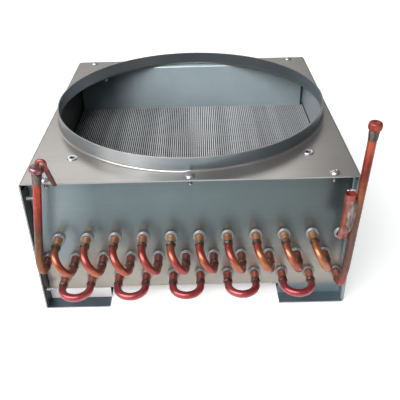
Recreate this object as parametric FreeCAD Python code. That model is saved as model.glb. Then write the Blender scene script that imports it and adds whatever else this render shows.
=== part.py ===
# Finned condenser coil in a folded sheet case, with a drawn fan ring in its top.
# Millimetres. X runs along the tube rows, Y along the tubes towards the back, Z up out of the fan ring.
# The origin is on the fan ring's axis, in the upper face of the top sheet.

import FreeCAD, Part
import math
import os

V = FreeCAD.Vector
X_AXIS = V(1, 0, 0)
Y_AXIS = V(0, 1, 0)
Z_AXIS = V(0, 0, 1)

# Tubes and fins
tube_pitch = 25.4            # centre distance of neighbouring tubes, along a row and between rows
tubes_per_row = 11
tube_diameter = 7.0
fin_pitch = 2.54             # ten fins to the inch
fin_thickness = 0.2
fin_end_gap = 2.0            # from an end plate to the fin beside it
top_row_depth = 66.0         # from the top sheet's upper face to the top row's axes
row_pitch = tube_pitch * math.sin(math.radians(60))
tube_radius = tube_diameter / 2

# Case
case_sheet = 1.2
leg_height = 13.3            # from the floor to the plates' lower edge between their legs
fin_side_gap = 0.7           # between the fins and a side panel
foot_width = 61.0            # inward flange that the case stands on
case_bend_radius = 1.2       # inside radius of the case's folds
ring_side_margin = 7.6       # from the outside of the fan ring to the case's side faces
ring_end_margin = 13.0       # and to the case's front and back edges
ring_height = 13.5
ring_root_radius = 2.0       # drawn radius where the ring leaves the top sheet

# End plates
plate_sheet = 1.2
front_recess = 13.0          # from the case's front edge to the front plate's outer face
back_recess = 18.0
flange_set_back = 1.5        # the plates' flanges stop this far inside the case's edge
plate_bend_radius = 0.6      # inside radius of the plates' folds
collar_wall = 0.9            # extruded rim round each tube hole
collar_height = 2.2
arch_clearance = 4.7         # from the fins' lower edge to the plates' lower edge between the legs
arch_flange = 9.0            # stiffening flange turned inwards along that edge
corner_relief = 6.0          # notch where two flanges would meet

# Hairpins, return bends and braze
cup_wall = 0.5
cup_length = 10.0            # swaged mouth that takes the end of a return bend
cup_depth = 9.0              # how far the bend's end goes in
cup_taper = 1.0
cup_stand_off = 0.6          # from the plate's collar to the foot of the cup
bend_stand_off = 4.6         # straight stretch of a return bend outside its cups
hairpin_stand_off = 4.0      # straight stretch of a hairpin behind the back plate
braze_width = 1.2
braze_rise = 0.7

# Connection pipes, with the seals on their ends
elbow_stand_off = 0.2        # straight stretch of a pipe between its braze and the elbow
elbow_radius = 7.8
inlet_foot_rise = 14.0       # rises of the inlet pipe's two runs, from the elbow up
inlet_rise = 93.3
inlet_foot_lean = -1.2       # and how far each of them leans to the right
inlet_lean = 14.2
outlet_foot_rise = 22.0      # the same for the outlet pipe
outlet_rise = 139.3
outlet_foot_lean = 2.6
outlet_lean = 6.3
gentle_bend_radius = 36.0    # between the two runs of a pipe
cap_diameter = 10.4
cap_lip_wall = 0.7           # wall at the cap's lower edge
cap_depth = 6.6              # how far a cap reaches down over its pipe
cap_roof = 2.6               # thickness over the pipe's end
cap_dimple = 1.4
cap_sides = ((0.94, 0.72), (1.0, 0.45), (1.0, 0.0))    # shares of its radius and of its depth
cap_crown = ((0.93, 0.5), (0.74, 0.88))                # shares of its radius and of its roof
cap_rim_share = 0.55         # flat rim round the dimple, and the dimple's floor
cap_floor_share = 0.3
band_length = 7.5            # braze metal that has run down the pipe below a cap
band_rise = 0.5
process_diameter = 3.2
process_rise = 1.5           # straight rise out of the inlet's cap
process_loop_radius = 3.0
process_drop = 17.8
process_lean = 4.1
process_pinch = 4.0          # flattened length at the sealed end
process_pinch_thickness = 1.1

# Short holder tube brazed to the outlet pipe
holder_diameter = 6.35
holder_wall = 0.6
holder_mouth_diameter = 9.3
holder_mouth_length = 8.0
holder_taper = 5.0
holder_length = 45.0
holder_top_depth = 11.0      # from the top sheet's upper face to its mouth
holder_pinch = 6.0
holder_pinch_thickness = 1.6
holder_braze_length = 24.0
holder_braze_thickness = 4.4

# Fasteners
screw_shank_radius = 1.9
screw_head_radius = 4.0
screw_head_height = 2.4
screw_length = 9.5
screw_point = 2.5
screw_clearance = 0.25       # round the shank in the case
screw_recess_width = 1.0
screw_recess_span = 4.2
screw_recess_depth = 1.2
screw_dome = ((0.55, 1.0), (0.9, 0.62), (1.0, 0.25))   # shares of the head's radius and height
top_screw_margin = 21.1      # from the case's side faces to the outer screws of a row
side_screw_inset = 6.0       # from the case's front or back edge
side_screw_depth = 17.6      # from the top sheet's upper face to the upper screw
side_screw_rise = 19.4       # from the floor to the lower screw
insert_ring_gap = 13.5       # from the outside of the fan ring to an insert's axis
insert_thread_radius = 2.1   # core of an M5 thread
insert_barrel_radius = 3.5
insert_head_radius = 4.8
insert_head_height = 1.0
insert_head_bevel = 0.4
insert_barrel_length = 8.0

# Derived places
fin_width = tubes_per_row * tube_pitch
case_inner_half = fin_width / 2 + fin_side_gap
case_half = case_inner_half + case_sheet
ring_radius = case_half - ring_side_margin
case_back = ring_radius + ring_end_margin
case_front = -case_back
top_row_z = -top_row_depth
middle_row_z = top_row_z - row_pitch
bottom_row_z = middle_row_z - row_pitch
fin_top = top_row_z + row_pitch / 2
fin_bottom = bottom_row_z - row_pitch / 2
front_plate_face = case_front + front_recess
back_plate_face = case_back - back_recess
arch_z = fin_bottom - arch_clearance
case_height = leg_height - arch_z
foot_top = -case_height + case_sheet
cup_radius = tube_radius + cup_wall
holder_radius = holder_diameter / 2
holder_mouth_radius = holder_mouth_diameter / 2
cup_foot_y = front_plate_face - collar_height - cup_stand_off
cup_mouth_y = cup_foot_y - cup_taper - cup_length
upright_y = cup_mouth_y - braze_width - elbow_stand_off - elbow_radius


def tube_place(row, index):
    """X and Z of a tube's axis. The middle row is set half a pitch to the left of the other two."""
    offset = 0.25 if row == "middle" else 0.75
    height = {"top": top_row_z, "middle": middle_row_z, "bottom": bottom_row_z}[row]
    return (index + offset) * tube_pitch - fin_width / 2, height


INLET = ("middle", 0)
OUTLET = ("bottom", tubes_per_row - 1)


def hairpin_pairs():
    """Tubes that share a hairpin, in the order of the refrigerant's way from inlet to outlet."""
    pairs = []
    for step in range(0, tubes_per_row - 1, 2):
        pairs.append((("middle", step), ("bottom", step)))
        pairs.append((("bottom", step + 1), ("middle", step + 1)))
        pairs.append((("top", step), ("top", step + 1)))
    pairs.append((("middle", tubes_per_row - 1), ("bottom", tubes_per_row - 1)))
    return pairs


def return_bend_pairs():
    """Tubes that a return bend joins at the front."""
    level = [(("bottom", step), ("bottom", step + 1)) for step in range(0, tubes_per_row - 1, 2)]
    slanted = [(("top", step), ("middle", step + 1)) for step in range(tubes_per_row - 1)]
    return level + slanted


def box(x0, x1, y0, y1, z0, z1):
    return Part.makeBox(x1 - x0, y1 - y0, z1 - z0, V(x0, y0, z0))


def rod(radius, start, end):
    along = end - start
    return Part.makeCylinder(radius, along.Length, start, along)


def edges_where(shape, test):
    return [edge for edge in shape.Edges if test(edge.BoundBox)]


def edge_at_xz(bounds, x, z):
    """True for a straight edge along Y at this X and Z."""
    flat = bounds.XLength < 0.01 and bounds.ZLength < 0.01
    return flat and abs(bounds.XMin - x) < 0.01 and abs(bounds.ZMin - z) < 0.01


def edge_at_xy(bounds, x, y):
    """True for a straight edge along Z at this X and Y."""
    flat = bounds.XLength < 0.01 and bounds.YLength < 0.01
    return flat and abs(bounds.XMin - x) < 0.01 and abs(bounds.YMin - y) < 0.01


def edge_at_yz(bounds, y, z):
    """True for a straight edge along X at this Y and Z."""
    flat = bounds.YLength < 0.01 and bounds.ZLength < 0.01
    return flat and abs(bounds.YMin - y) < 0.01 and abs(bounds.ZMin - z) < 0.01


def revolve_about(profile_points, base, axis):
    """Turn a closed outline of (radius, height) points about an axis through base."""
    side = axis.cross(X_AXIS if abs(axis.x) < 0.7 else Y_AXIS)
    side.normalize()
    corners = [base + side * radius + axis * height for radius, height in profile_points]
    face = Part.Face(Part.makePolygon(corners + [corners[0]]))
    return face.revolve(base, axis, 360)


def path_wire(points, radii):
    """Straight runs through the points, joined by tangent arcs of the given radii."""
    edges = []
    start = points[0]
    for corner, before, after, radius in zip(points[1:], points, points[2:], radii):
        back = (before - corner).normalize()
        ahead = (after - corner).normalize()
        half_turn = (math.pi - back.getAngle(ahead)) / 2
        reach = radius * math.tan(half_turn)
        middle = (back + ahead).normalize()
        centre = corner + middle * (radius / math.cos(half_turn))
        arc_start = corner + back * reach
        arc_end = corner + ahead * reach
        edges.append(Part.LineSegment(start, arc_start).toShape())
        edges.append(Part.Arc(arc_start, centre - middle * radius, arc_end).toShape())
        start = arc_end
    edges.append(Part.LineSegment(start, points[-1]).toShape())
    return Part.Wire(edges)


def swept_rod(points, radii, radius):
    wire = path_wire(points, radii)
    ring = Part.Wire(Part.makeCircle(radius, points[0], points[1] - points[0]))
    return wire.makePipeShell([ring], True, True)


def fan_shroud():
    """Top sheet with its drawn fan ring, both side panels and both feet, folded from one sheet."""
    outer = box(-case_half, case_half, case_front, case_back, -case_height, 0)
    inner = box(-case_inner_half, case_inner_half, case_front - case_sheet, case_back + case_sheet,
                foot_top, -case_sheet)
    outer_bend = case_bend_radius + case_sheet
    corners = [(sign * case_half, z) for sign in (-1, 1) for z in (0, -case_height)]
    outer_edges = edges_where(outer, lambda b: any(edge_at_xz(b, x, z) for x, z in corners))
    inner_corners = [(sign * case_inner_half, z) for sign in (-1, 1) for z in (-case_sheet, foot_top)]
    inner_edges = edges_where(inner, lambda b: any(edge_at_xz(b, x, z) for x, z in inner_corners))
    wrap = outer.makeFillet(outer_bend, outer_edges).cut(inner.makeFillet(case_bend_radius, inner_edges))
    mouth_half = case_half - foot_width
    wrap = wrap.cut(box(-mouth_half, mouth_half, case_front - case_sheet, case_back + case_sheet,
                        -case_height - case_sheet, foot_top + case_sheet))

    root = ring_radius + ring_root_radius
    wrap = wrap.cut(Part.makeCylinder(root, 4 * case_sheet, V(0, 0, -2 * case_sheet)))
    wrap = wrap.fuse(drawn_ring())
    hole = screw_shank_radius + screw_clearance
    for x, y in top_screw_places():
        wrap = wrap.cut(rod(hole, V(x, y, -2 * case_sheet), V(x, y, case_sheet)))
    for x, y in insert_places():
        wrap = wrap.cut(rod(insert_barrel_radius, V(x, y, -2 * case_sheet), V(x, y, case_sheet)))
    for side, y, z in side_screw_places():
        reach = X_AXIS * side * 2 * case_sheet
        panel = V(side * case_half, y, z)
        wrap = wrap.cut(rod(hole, panel - reach, panel + reach))
    return wrap.removeSplitter()


def drawn_ring():
    """The ring's wall with its rounded root, up to where the flat sheet begins."""
    root_x = ring_radius + ring_root_radius
    bore = ring_radius - case_sheet
    slant = math.sqrt(0.5)
    inside = ring_root_radius + case_sheet
    centre = V(root_x, 0, ring_root_radius)
    outer_arc = Part.Arc(V(root_x, 0, 0), centre - V(1, 0, 1) * ring_root_radius * slant,
                         V(ring_radius, 0, ring_root_radius))
    inner_arc = Part.Arc(V(bore, 0, ring_root_radius), centre - V(1, 0, 1) * inside * slant,
                         V(root_x, 0, -case_sheet))
    edges = [outer_arc.toShape(),
             Part.makeLine(V(ring_radius, 0, ring_root_radius), V(ring_radius, 0, ring_height)),
             Part.makeLine(V(ring_radius, 0, ring_height), V(bore, 0, ring_height)),
             Part.makeLine(V(bore, 0, ring_height), V(bore, 0, ring_root_radius)),
             inner_arc.toShape(),
             Part.makeLine(V(root_x, 0, -case_sheet), V(root_x, 0, 0))]
    return Part.Face(Part.Wire(edges)).revolve(V(0, 0, 0), Z_AXIS, 360)


def end_plate(face_y, outward):
    """Tube plate with flanges turned outwards at the top and sides, legs, and a rim round each hole."""
    edge_y = outward * (case_back - flange_set_back)
    inner_y = face_y - outward * plate_sheet
    top = -case_sheet
    outer_bend = plate_bend_radius + plate_sheet
    y0, y1 = sorted((edge_y, inner_y))
    outer = box(-case_inner_half, case_inner_half, y0, y1, foot_top, top)
    fold_edges = edges_where(outer, lambda b: edge_at_yz(b, inner_y, top)
                             or edge_at_xy(b, -case_inner_half, inner_y)
                             or edge_at_xy(b, case_inner_half, inner_y))
    outer = outer.makeFillet(outer_bend, fold_edges)
    half = case_inner_half - plate_sheet
    y0, y1 = sorted((edge_y + outward * plate_sheet, face_y))
    hollow = box(-half, half, y0, y1, foot_top - plate_sheet, top - plate_sheet)
    hollow_edges = edges_where(hollow, lambda b: edge_at_yz(b, face_y, top - plate_sheet)
                               or edge_at_xy(b, -half, face_y) or edge_at_xy(b, half, face_y))
    plate = outer.cut(hollow.makeFillet(plate_bend_radius, hollow_edges))

    y0, y1 = sorted((face_y, edge_y + outward * plate_sheet))
    for side in (-1, 1):
        x0, x1 = sorted((side * (case_inner_half - corner_relief), side * case_half))
        plate = plate.cut(box(x0, x1, y0, y1, top - corner_relief, 0))
    return plate.cut(fold_reliefs(inner_y, edge_y))


def fold_reliefs(inner_y, edge_y):
    """Blocks that trim an end plate's four corners clear of the case's folds."""
    y0, y1 = sorted((inner_y, edge_y))
    trim = case_bend_radius
    blocks = [box(side * case_inner_half - trim, side * case_inner_half + trim, y0 - trim, y1 + trim,
                  z - trim, z + trim) for side in (-1, 1) for z in (foot_top, -case_sheet)]
    return Part.makeCompound(blocks)


def arch(plate, face_y, outward):
    """The gap between the legs, with its upper edge turned inwards as a stiffening flange."""
    half = case_half - foot_width
    reach = 3 * plate_sheet
    plate = plate.cut(box(-half, half, face_y - reach, face_y + reach, foot_top - reach, arch_z))

    lip_half = half - corner_relief
    outer_bend = plate_bend_radius + plate_sheet
    rise = 2 * outer_bend
    inner_y = face_y - outward * plate_sheet
    inner_z = arch_z + plate_sheet
    y0, y1 = sorted((face_y, face_y - outward * arch_flange))
    outer = box(-lip_half, lip_half, y0, y1, arch_z, arch_z + rise)
    outer = outer.makeFillet(outer_bend, edges_where(outer, lambda b: edge_at_yz(b, face_y, arch_z)))
    y0, y1 = sorted((inner_y, face_y - outward * 2 * arch_flange))
    hollow = box(-half, half, y0, y1, inner_z, arch_z + 2 * rise)
    inner_edge = edges_where(hollow, lambda b: edge_at_yz(b, inner_y, inner_z))
    hollow = hollow.makeFillet(plate_bend_radius, inner_edge)
    plate = plate.cut(box(-lip_half, lip_half, face_y - reach, face_y + reach, arch_z, arch_z + rise))
    return plate.fuse(outer.cut(hollow)).removeSplitter()


def tube_holes(plate, face_y, outward):
    """A rim drawn outwards round every tube hole, the empty one too, and the holes themselves."""
    rim_end = face_y + outward * collar_height
    through = face_y - outward * 2 * plate_sheet
    rims = []
    holes = []
    for row in ("top", "middle", "bottom"):
        for index in range(tubes_per_row):
            x, z = tube_place(row, index)
            rims.append(rod(tube_radius + collar_wall, V(x, face_y - outward * plate_sheet / 2, z),
                            V(x, rim_end, z)))
            holes.append(rod(tube_radius, V(x, through, z), V(x, rim_end + outward * plate_sheet, z)))
    return plate.fuse(rims).cut(Part.makeCompound(holes))


def flange_holes(plate, outward):
    """Pilot holes that the screws cut their thread in."""
    for x, y in top_screw_places():
        if y * outward > 0:
            plate = plate.cut(rod(screw_shank_radius, V(x, y, -4 * case_sheet), V(x, y, 0)))
    for side, y, z in side_screw_places():
        if y * outward > 0:
            panel = V(side * case_inner_half, y, z)
            reach = X_AXIS * side * 2 * plate_sheet
            plate = plate.cut(rod(screw_shank_radius, panel - reach, panel + reach))
    return plate


def finished_end_plate(face_y, outward):
    plate = end_plate(face_y, outward)
    plate = arch(plate, face_y, outward)
    plate = tube_holes(plate, face_y, outward)
    return flange_holes(plate, outward).removeSplitter()


def fin():
    """One fin at Y = 0. Each row's holes run together in a slot that seats on its tubes."""
    half = fin_width / 2
    plate = box(-half, half, -fin_thickness / 2, fin_thickness / 2, fin_bottom, fin_top)
    for row in ("top", "middle", "bottom"):
        first_x, z = tube_place(row, 0)
        last_x, z = tube_place(row, tubes_per_row - 1)
        plate = plate.cut(box(first_x - tube_radius, last_x + tube_radius, -fin_thickness, fin_thickness,
                              z - tube_radius, z + tube_radius))
    return plate


def fins():
    """The whole stack between the two end plates, as separate solids."""
    first = front_plate_face + plate_sheet + fin_end_gap
    last = back_plate_face - plate_sheet - fin_end_gap
    count = int((last - first) / fin_pitch) + 1
    start = (first + last - (count - 1) * fin_pitch) / 2
    one = fin()
    return Part.makeCompound([one.translated(V(0, start + step * fin_pitch, 0)) for step in range(count)])


def u_bend(first, second, base_y, outward):
    """Half a torus that joins two tubes whose straight ends stop at base_y."""
    a = V(first[0], base_y, first[1])
    b = V(second[0], base_y, second[1])
    face = Part.Face(Part.Wire(Part.makeCircle(tube_radius, a, Y_AXIS)))
    axis = (Y_AXIS * outward).cross(b - a)
    axis.normalize()
    return face.revolve((a + b) * 0.5, axis, 180)


def swaged_mouth(x, z):
    """Widened end of a tube, still solid."""
    foot = V(x, cup_foot_y, z)
    profile = [(0, 0), (tube_radius, 0), (cup_radius, cup_taper), (cup_radius, cup_taper + cup_length),
               (0, cup_taper + cup_length)]
    return revolve_about(profile, foot, -Y_AXIS)


def hairpin(first, second):
    """One tube with two long legs, bent at the back and swaged at the front."""
    base_y = back_plate_face + hairpin_stand_off
    solid = u_bend(tube_place(*first), tube_place(*second), base_y, 1)
    for name in (first, second):
        x, z = tube_place(*name)
        solid = solid.fuse(rod(tube_radius, V(x, cup_foot_y, z), V(x, base_y, z)))
        solid = solid.fuse(swaged_mouth(x, z))
        mouth = V(x, cup_mouth_y, z)
        solid = solid.cut(rod(tube_radius, mouth + Y_AXIS * cup_depth, mouth - Y_AXIS * cup_depth))
    return solid.removeSplitter()


def return_bend(first, second):
    base_y = cup_mouth_y - bend_stand_off
    ends = [tube_place(*first), tube_place(*second)]
    solid = u_bend(ends[0], ends[1], base_y, -1)
    for x, z in ends:
        solid = solid.fuse(rod(tube_radius, V(x, cup_mouth_y + cup_depth, z), V(x, base_y, z)))
    return solid.removeSplitter()


def return_bends():
    return Part.makeCompound([return_bend(first, second) for first, second in return_bend_pairs()])


def braze_rings():
    """Fillet of braze metal at the mouth of each cup."""
    profile = [(tube_radius, 0), (cup_radius, 0), (cup_radius, braze_width / 3),
               (tube_radius + braze_rise / 3, braze_width), (tube_radius, braze_width)]
    joints = [name for pair in return_bend_pairs() for name in pair] + [INLET, OUTLET]
    places = [tube_place(*name) for name in joints]
    return Part.makeCompound([revolve_about(profile, V(x, cup_mouth_y, z), -Y_AXIS) for x, z in places])


def pipe_points(tube, runs):
    """From inside a tube's mouth out to the elbow, and up along runs of (lean, rise)."""
    x, z = tube_place(*tube)
    points = [V(x, cup_mouth_y + cup_depth, z), V(x, upright_y, z)]
    for lean, rise in runs:
        points.append(points[-1] + V(lean, 0, rise))
    return points


def inlet_points():
    return pipe_points(INLET, ((inlet_foot_lean, inlet_foot_rise), (inlet_lean, inlet_rise)))


def outlet_points():
    return pipe_points(OUTLET, ((outlet_foot_lean, outlet_foot_rise), (outlet_lean, outlet_rise)))


def pipe(points):
    return swept_rod(points, [elbow_radius, gentle_bend_radius], tube_radius)


def path_end(points):
    """The last point of a pipe's path and the direction in which it ends."""
    along = (points[-1] - points[-2]).normalize()
    return points[-1], along


def pipe_cap(points, crown):
    """Bulbous cup that slips over a pipe's end. The crown closes its outline to the axis or to a bore."""
    end, along = path_end(points)
    radius = cap_diameter / 2
    outline = [(tube_radius, 0), (tube_radius, -cap_depth), (tube_radius + cap_lip_wall, -cap_depth)]
    outline += [(radius * wide, -cap_depth * low) for wide, low in cap_sides]
    outline += [(radius * wide, cap_roof * high) for wide, high in cap_crown]
    return revolve_about(outline + crown, end, along)


def inlet_cap():
    """Open at the top for the process tube."""
    bore = process_diameter / 2
    return pipe_cap(inlet_points(), [(bore, cap_roof), (bore, 0)])


def outlet_cap():
    """Closed, with a dimple in its crown."""
    radius = cap_diameter / 2
    dip = cap_roof - cap_dimple
    return pipe_cap(outlet_points(), [(radius * cap_rim_share, cap_roof), (radius * cap_floor_share, dip),
                                      (0, dip), (0, 0)])


def process_points():
    """Up out of the inlet's cap, over a tight loop and down beside it."""
    base, along = path_end(inlet_points())
    crest = base + along * (cap_roof + process_rise + process_loop_radius)
    across = V(2 * process_loop_radius, 0, 0)
    return [base, crest, crest + across, crest + across + V(process_lean, 0, -process_drop)]


def process_tube():
    """Sealed at its tip by flattening."""
    points = process_points()
    radius = process_diameter / 2
    tube = swept_rod(points, [process_loop_radius, process_loop_radius], radius)
    tip, along = path_end(points)
    blade = pinched_end(tip, along, radius, process_pinch, process_pinch_thickness)
    return tube.fuse(blade).removeSplitter()


def pinched_end(start, along, radius, length, thickness):
    """Tube end that is squeezed between two slanting jaws to a blade, wide in X."""
    side = (X_AXIS - along * X_AXIS.dot(along)).normalize()
    across = along.cross(side)
    end = start + along * length
    corners = [start + across * radius, end + across * (thickness / 2),
               end - across * (thickness / 2), start - across * radius]
    wedge = Part.Face(Part.makePolygon(corners + [corners[0]])).extrude(side * (2 * radius))
    return rod(radius, start, end).common(wedge.translated(side * -radius))


def holder_line():
    """Centre of the holder's open mouth and the direction down it. The mouth lies against the pipe."""
    points = outlet_points()
    run = (points[3] - points[2]).normalize()
    level = points[2] + run * ((-holder_top_depth - points[2].z) / run.z)
    return level + run.cross(Y_AXIS) * (tube_radius + holder_mouth_radius), run * -1


def holder_tube():
    """Short tube with a widened open mouth above and a flattened end below."""
    mouth, down = holder_line()
    mouth_end = holder_mouth_length + holder_taper
    straight = holder_length - holder_pinch
    bore = holder_radius - holder_wall
    mouth_bore = holder_mouth_radius - holder_wall
    outline = [(holder_mouth_radius, 0), (holder_mouth_radius, holder_mouth_length),
               (holder_radius, mouth_end), (holder_radius, straight), (0, straight),
               (0, straight - holder_wall), (bore, straight - holder_wall), (bore, mouth_end),
               (mouth_bore, holder_mouth_length), (mouth_bore, 0)]
    tube = revolve_about(outline, mouth, down)
    blade = pinched_end(mouth + down * straight, down, holder_radius, holder_pinch, holder_pinch_thickness)
    return tube.fuse(blade).removeSplitter()


def holder_braze():
    """Braze metal that bridges the holder tube and the outlet pipe."""
    mouth, down = holder_line()
    start = mouth + down * (holder_mouth_length + holder_taper)
    end = start + down * holder_braze_length
    across = down.cross(Y_AXIS) * (tube_radius + holder_mouth_radius)
    side = Y_AXIS * (holder_braze_thickness / 2)
    corners = [start + side, start - side, start + across - side, start + across + side]
    bridge = Part.Face(Part.makePolygon(corners + [corners[0]])).extrude(end - start)
    bridge = bridge.cut(rod(holder_radius, start - down, end + down))
    return bridge.cut(rod(tube_radius, start + across - down, end + across + down)).Solids[0]


def cap_braze(points):
    """Band of braze metal that has run down a pipe below its cap."""
    end, along = path_end(points)
    outline = [(tube_radius, 0), (tube_radius + band_rise, 0), (tube_radius + band_rise / 3, -band_length),
               (tube_radius, -band_length)]
    return revolve_about(outline, end - along * cap_depth, along)


def top_screw_places():
    """Midway between the fan ring and the case's front and back edges."""
    half = case_half - top_screw_margin
    rows = (case_front + ring_end_margin / 2, case_back - ring_end_margin / 2)
    return [(x, y) for y in rows for x in (-half, 0, half)]


def side_screw_places():
    columns = (case_front + side_screw_inset, case_back - side_screw_inset)
    heights = (-side_screw_depth, side_screw_rise - case_height)
    return [(side, y, z) for side in (-1, 1) for y in columns for z in heights]


def insert_places():
    """On the diagonals through the fan ring's axis."""
    half = (ring_radius + insert_ring_gap) * math.sqrt(0.5)
    return [(sx * half, sy * half) for sx in (-1, 1) for sy in (-1, 1)]


def screw(seat, axis):
    """Pan-head tapping screw. Its head rests at seat and its shank points against axis."""
    head = screw_head_radius
    outline = [(0, screw_head_height)]
    outline += [(head * wide, screw_head_height * high) for wide, high in screw_dome]
    outline += [(head, 0), (screw_shank_radius, 0), (screw_shank_radius, screw_point - screw_length),
                (0, -screw_length)]
    solid = revolve_about(outline, seat, axis)
    side = axis.cross(Y_AXIS)
    other = axis.cross(side)
    for along, across in ((side, other), (other, side)):
        slot = slot_cutter(seat + axis * (screw_head_height - screw_recess_depth), along, across, axis)
        solid = solid.cut(slot)
    return solid


def slot_cutter(centre, along, across, axis):
    """One arm of the cross recess, open at the top."""
    a = along * (screw_recess_span / 2)
    b = across * (screw_recess_width / 2)
    corners = [centre + a + b, centre + a - b, centre - a - b, centre - a + b]
    face = Part.Face(Part.makePolygon(corners + [corners[0]]))
    return face.extrude(axis * (2 * screw_recess_depth))


def top_screws():
    return Part.makeCompound([screw(V(x, y, 0), Z_AXIS) for x, y in top_screw_places()])


def side_screws():
    return Part.makeCompound([screw(V(side * case_half, y, z), X_AXIS * side)
                              for side, y, z in side_screw_places()])


def fan_inserts():
    """Threaded inserts set in the top sheet, for the fan's screws."""
    outline = [(insert_thread_radius, insert_head_height),
               (insert_head_radius - insert_head_bevel, insert_head_height),
               (insert_head_radius, insert_head_height * 0.5), (insert_head_radius, 0),
               (insert_barrel_radius, 0), (insert_barrel_radius, -insert_barrel_length),
               (insert_thread_radius, -insert_barrel_length)]
    return Part.makeCompound([revolve_about(outline, V(x, y, 0), Z_AXIS) for x, y in insert_places()])


def build():
    parts = {
        "fan_shroud": fan_shroud(),
        "front_end_plate": finished_end_plate(front_plate_face, -1),
        "back_end_plate": finished_end_plate(back_plate_face, 1),
        "fins": fins(),
        "return_bends": return_bends(),
        "braze_rings": braze_rings(),
        "inlet_pipe": pipe(inlet_points()),
        "inlet_cap": inlet_cap(),
        "process_tube": process_tube(),
        "outlet_pipe": pipe(outlet_points()),
        "outlet_cap": outlet_cap(),
        "holder_tube": holder_tube(),
        "holder_braze": holder_braze(),
        "inlet_cap_braze": cap_braze(inlet_points()),
        "outlet_cap_braze": cap_braze(outlet_points()),
        "top_screws": top_screws(),
        "side_screws": side_screws(),
        "fan_inserts": fan_inserts(),
    }
    for number, (first, second) in enumerate(hairpin_pairs(), start=1):
        parts["hairpin_%02d" % number] = hairpin(first, second)
    return parts


os.makedirs("parts", exist_ok=True)
for name, shape in build().items():
    shape.exportStep("parts/%s.step" % name)
    print(name, "solids", len(shape.Solids), "valid", shape.isValid(), "volume", round(shape.Volume, 1))
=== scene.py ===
# Finned condenser coil: the finish of its sheets, foil and copper, and its small forms.
# Sizes and shapes are in millimetres. Places in the finishes and in the studio are in metres.
import math
import random

import bpy
from mathutils import Matrix, Vector, noise


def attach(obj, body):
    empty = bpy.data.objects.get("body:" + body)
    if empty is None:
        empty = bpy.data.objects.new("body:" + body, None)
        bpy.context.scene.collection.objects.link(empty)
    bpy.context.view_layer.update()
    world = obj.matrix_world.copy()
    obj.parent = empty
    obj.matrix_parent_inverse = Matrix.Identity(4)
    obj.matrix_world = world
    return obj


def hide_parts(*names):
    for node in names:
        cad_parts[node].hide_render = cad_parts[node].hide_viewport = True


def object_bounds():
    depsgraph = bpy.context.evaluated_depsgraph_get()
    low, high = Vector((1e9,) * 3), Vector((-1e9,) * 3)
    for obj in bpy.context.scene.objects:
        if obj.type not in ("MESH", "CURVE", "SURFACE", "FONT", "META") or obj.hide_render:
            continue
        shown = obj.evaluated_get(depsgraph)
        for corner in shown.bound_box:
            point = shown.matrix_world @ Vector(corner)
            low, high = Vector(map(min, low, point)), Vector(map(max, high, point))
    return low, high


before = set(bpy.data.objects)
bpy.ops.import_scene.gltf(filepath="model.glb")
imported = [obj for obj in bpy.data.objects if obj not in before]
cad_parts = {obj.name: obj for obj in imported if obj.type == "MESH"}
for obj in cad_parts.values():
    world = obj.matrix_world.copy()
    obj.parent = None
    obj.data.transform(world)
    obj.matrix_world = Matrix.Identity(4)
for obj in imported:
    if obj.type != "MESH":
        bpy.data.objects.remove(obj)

cad_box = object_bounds()
MM = 0.001
ALONG_TUBES = Vector((0, 1, 0))
rng = random.Random(11)

# Tubes and fins
tube_pitch = 25.4
tubes_per_row = 11
tube_radius = 3.5
snug_radius = tube_radius + 0.02    # inside of what fits round a tube
rows = ("top", "middle", "bottom")
row_pitch = tube_pitch * math.sin(math.radians(60))
top_row_z = -66.0
row_z = {row: top_row_z - k * row_pitch for k, row in enumerate(rows)}
tubes = [(row, index) for row in rows for index in range(tubes_per_row)]
open_hole = ("top", tubes_per_row - 1)
inlet_tube = ("middle", 0)
outlet_tube = ("bottom", tubes_per_row - 1)
fin_pitch = 2.54
fin_thickness = 0.2
fin_end_gap = 2.0
fin_side_gap = 0.7
fin_width = tube_pitch * tubes_per_row
fin_top = row_z["top"] + row_pitch / 2
fin_bottom = row_z["bottom"] - row_pitch / 2
ripples = 120                       # across the width of a fin
ripple_half = 0.42
sleeve_radius = 3.82                # outside of the sleeves round the tubes
sleeve_end_gap = 0.4                # from the sleeves to the end plates

# End plates, swaged mouths and the pipes in front of them
plate_sheet = 1.2
front_face = -134.0
back_face = 129.0
collar_height = 2.2
cup_stand_off = 0.6                 # from the front collars to where the hairpins widen
cup_taper = 1.0
cup_length = 10.0
cup_mouth_y = front_face - collar_height - cup_stand_off - cup_taper - cup_length
pipe_reach = 9.2                    # from the mouths to the upright pipes' axes
upright_y = cup_mouth_y - pipe_reach
holder_top_depth = 11.0             # from the top sheet to the holder tube's mouth
holder_mouth_radius = 4.65

# Case, fan ring and fasteners
case_sheet = 1.2
case_fold = 2.4                     # outside radius of the case's folds
case_half = fin_width / 2 + fin_side_gap + case_sheet
case_front = -147.0
case_back = 147.0
floor_z = -138.993                  # underside of the feet
foot_width = 61.0
ring_radius = 134.0
ring_height = 13.5
top_screw_margin = 21.1
top_screw_inset = 6.5
side_screw_inset = 6.0
side_screw_depth = 17.6
side_screw_rise = 19.4
insert_ring_gap = 13.5
insert_half = (ring_radius + insert_ring_gap) * math.sqrt(0.5)


def tube_place(row, index):
    """X and Z of a tube's axis. The middle row is set half a pitch to the left of the other two."""
    offset = 0.25 if row == "middle" else 0.75
    return (index + offset) * tube_pitch - fin_width / 2, row_z[row]


# Meshes

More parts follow.
